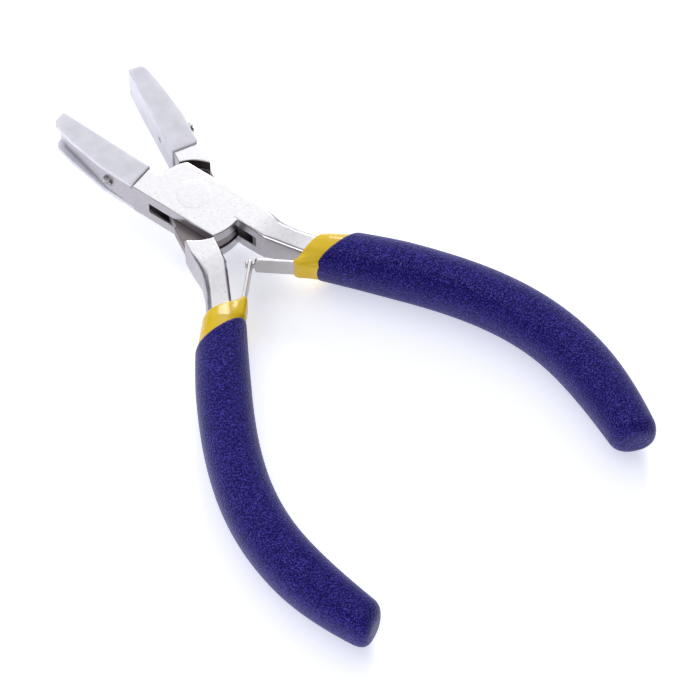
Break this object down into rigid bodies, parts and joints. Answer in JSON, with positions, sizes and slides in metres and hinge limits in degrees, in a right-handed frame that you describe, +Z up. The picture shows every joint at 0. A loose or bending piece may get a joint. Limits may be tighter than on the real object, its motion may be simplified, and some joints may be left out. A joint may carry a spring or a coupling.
{
  "type": "nylon jaw pliers",
  "caption": "Box-joint hand pliers with flat nylon jaw pads, a double-leaf return spring and bowed, double-dipped handles.",
  "frame": {"origin": "on the pivot axis, at the underside of the box joint", "axes": "+Y towards the jaws, +X to the side of the slotted half's handle, +Z up along the pivot axis; the tool lies flat, open at rest"},
  "size_m": [0.0834, 0.1312, 0.012],
  "materials": {
    "steel": "satin nickel-plated forged steel, fine pits and polishing grain",
    "rivet_steel": "ground flush steel",
    "nylon": "milky translucent moulded nylon",
    "screw_steel": "small plated steel screw",
    "spring_steel": "rolled spring steel strip with bright edges",
    "yellow_vinyl": "smooth glossy first dip",
    "blue_vinyl": "soft dark indigo second dip with a fine pebbled grain"
  },
  "bodies": {
    "slot_half": {"slot_half": "steel", "pivot_rivet": "rivet_steel", "left_jaw_pad": "nylon", "left_pad_screw": "screw_steel", "right_spring_rivet": "rivet_steel", "right_under_dip": "yellow_vinyl", "right_grip": "blue_vinyl"},
    "tongue_half": {"tongue_half": "steel", "right_jaw_pad": "nylon", "right_pad_screw": "screw_steel", "left_spring_rivet": "rivet_steel", "left_under_dip": "yellow_vinyl", "left_grip": "blue_vinyl"},
    "right_spring": {"right_spring_leaf": "spring_steel"},
    "left_spring": {"left_spring_leaf": "spring_steel"}
  },
  "joints": [
    {"name": "jaw_pivot", "type": "hinge", "parent": "slot_half", "child": "tongue_half", "pos_m": [0, 0, 0], "axis": [0, 0, 1], "range_deg": [0, 28], "stiffness_Nm_per_rad": 0.8, "springref_deg": -9.74},
    {"name": "right_leaf_bend", "type": "hinge", "parent": "slot_half", "child": "right_spring", "pos_m": [0.00639, -0.02417, 0.0042], "axis": [0, 0, 1], "range_deg": [-34, 0], "deforming": ["right_spring_leaf"]},
    {"name": "left_leaf_bend", "type": "hinge", "parent": "tongue_half", "child": "left_spring", "pos_m": [-0.00639, -0.02417, 0.0042], "axis": [0, 0, 1], "range_deg": [0, 34], "deforming": ["left_spring_leaf"]}
  ],
  "couplings": [
    {"joint": "right_leaf_bend", "follows": "jaw_pivot", "ratio": -1.19},
    {"joint": "left_leaf_bend", "follows": "jaw_pivot", "ratio": 1.19}
  ]
}
